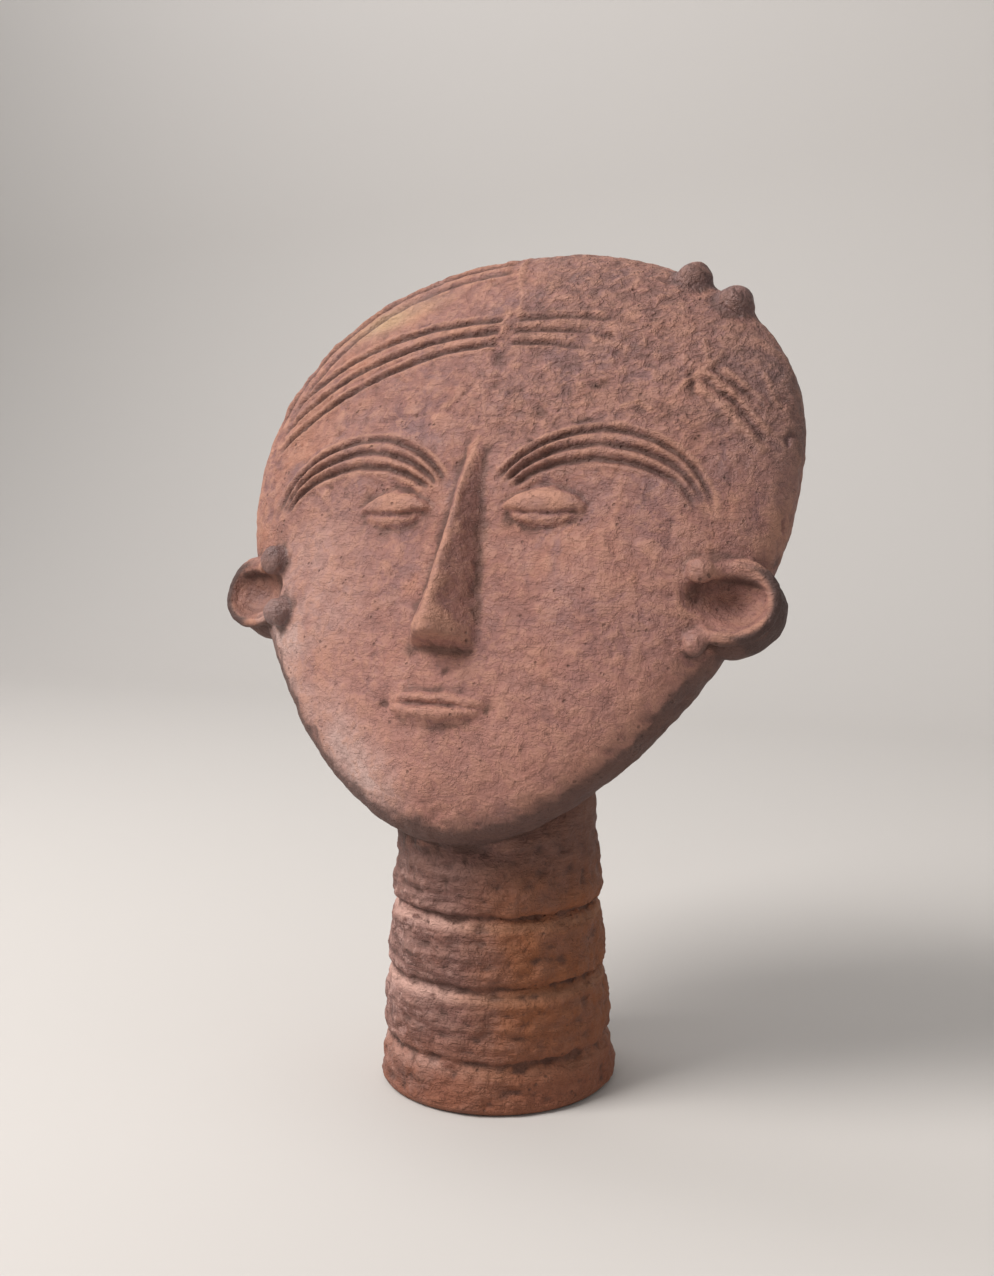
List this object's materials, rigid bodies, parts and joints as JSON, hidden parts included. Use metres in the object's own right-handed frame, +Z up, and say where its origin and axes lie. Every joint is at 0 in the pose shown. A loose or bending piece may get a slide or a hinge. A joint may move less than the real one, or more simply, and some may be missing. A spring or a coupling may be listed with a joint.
{
  "type": "terracotta funerary head",
  "caption": "Memorial head of fired clay: a flattened egg-shaped head with a calm face leans back on a ringed neck that stands on its flat underside.",
  "frame": {"origin": "centre of the neck's flat underside", "axes": "+Z up along the neck, the face looks towards -Y, +X towards the figure's left ear"},
  "size_m": [0.2306, 0.115, 0.3201],
  "materials": {
    "terracotta": "matt, unglazed, reddish brown, worn, with paler bloom and darker soot in the hollows"
  },
  "bodies": {
    "root": {"funerary_head": "terracotta"}
  },
  "joints": []
}
